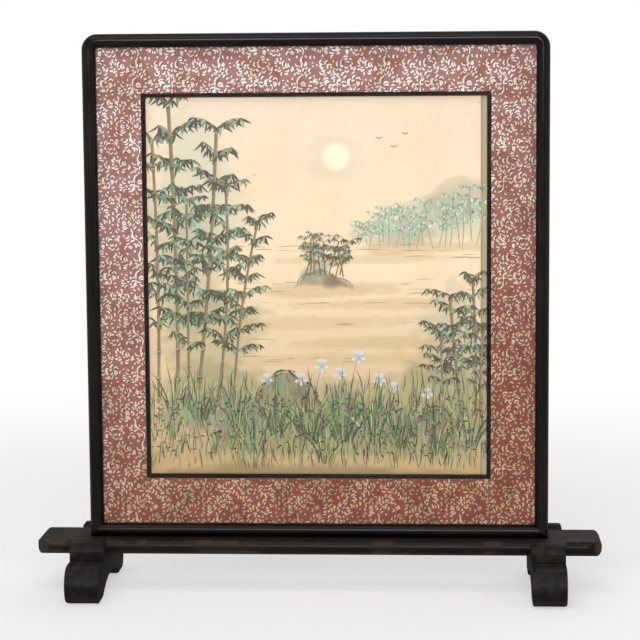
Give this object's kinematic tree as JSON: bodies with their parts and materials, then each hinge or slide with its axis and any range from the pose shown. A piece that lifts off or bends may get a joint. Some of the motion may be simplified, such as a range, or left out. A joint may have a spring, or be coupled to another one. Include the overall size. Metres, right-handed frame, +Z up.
{
  "type": "tabletop standing screen",
  "caption": "Lacquered tabletop screen: a mitred panel with cloth mat, beaded fillet and picture board behind a pane, lifting off pins in a footed stand.",
  "frame": {"origin": "centre of the footprint, on the ground", "axes": "+X to the viewer's right along the crossbar, -Y towards the viewer out of the picture, +Z up"},
  "size_m": [0.403, 0.1218, 0.3975],
  "materials": {
    "stand_lacquer": "dark brown-black lacquer on wood, satin, rubbed at the edges",
    "frame_lacquer": "black lacquer on wood, semi-gloss",
    "fillet_lacquer": "very dark red-brown lacquer, semi-gloss",
    "brocade_cloth": "dusty rose woven brocade with pale floral figures",
    "mat_card": "cream mat card, matt",
    "picture_paper": "aged cream paper with ink and colour washes",
    "pane_glass": "clear flat pane, polished",
    "grey_card": "brown card, matt",
    "back_plywood": "thin plywood, matt",
    "zinc_steel": "zinc plated steel",
    "pin_brass": "turned brass, satin",
    "button_brass": "stamped brass, a little tarnished"
  },
  "bodies": {
    "stand": {"crossbar": "stand_lacquer", "left_foot": "stand_lacquer", "right_foot": "stand_lacquer", "foot_screws": "zinc_steel", "locating_pins": "pin_brass"},
    "panel": {"top_rail": "frame_lacquer", "bottom_rail": "frame_lacquer", "left_stile": "frame_lacquer", "right_stile": "frame_lacquer", "corner_nails": "zinc_steel", "pane": "pane_glass", "brocade_cover": "brocade_cloth", "mat_board": "mat_card", "fillet_top": "fillet_lacquer", "fillet_bottom": "fillet_lacquer", "fillet_left": "fillet_lacquer", "fillet_right": "fillet_lacquer", "picture_board": "picture_paper", "spacer_frame": "grey_card", "packing_card": "grey_card", "back_board": "back_plywood", "turn_button_screws": "zinc_steel"},
    "upper_left_button": {"turn_button_upper_left": "button_brass"},
    "lower_left_button": {"turn_button_lower_left": "button_brass"},
    "upper_right_button": {"turn_button_upper_right": "button_brass"},
    "lower_right_button": {"turn_button_lower_right": "button_brass"}
  },
  "joints": [
    {"name": "panel_lift", "type": "slide", "parent": "stand", "child": "panel", "axis": [0, 0, 1], "range_m": [0, 0.04]},
    {"name": "upper_left_turn", "type": "hinge", "parent": "panel", "child": "upper_left_button", "pos_m": [-0.1605, 0.0076, 0.31375], "axis": [0, 1, 0], "range_deg": [-90, 90]},
    {"name": "lower_left_turn", "type": "hinge", "parent": "panel", "child": "lower_left_button", "pos_m": [-0.1605, 0.0076, 0.12375], "axis": [0, 1, 0], "range_deg": [-90, 90]},
    {"name": "upper_right_turn", "type": "hinge", "parent": "panel", "child": "upper_right_button", "pos_m": [0.1605, 0.0076, 0.31375], "axis": [0, 1, 0], "range_deg": [-90, 90]},
    {"name": "lower_right_turn", "type": "hinge", "parent": "panel", "child": "lower_right_button", "pos_m": [0.1605, 0.0076, 0.12375], "axis": [0, 1, 0], "range_deg": [-90, 90]}
  ]
}
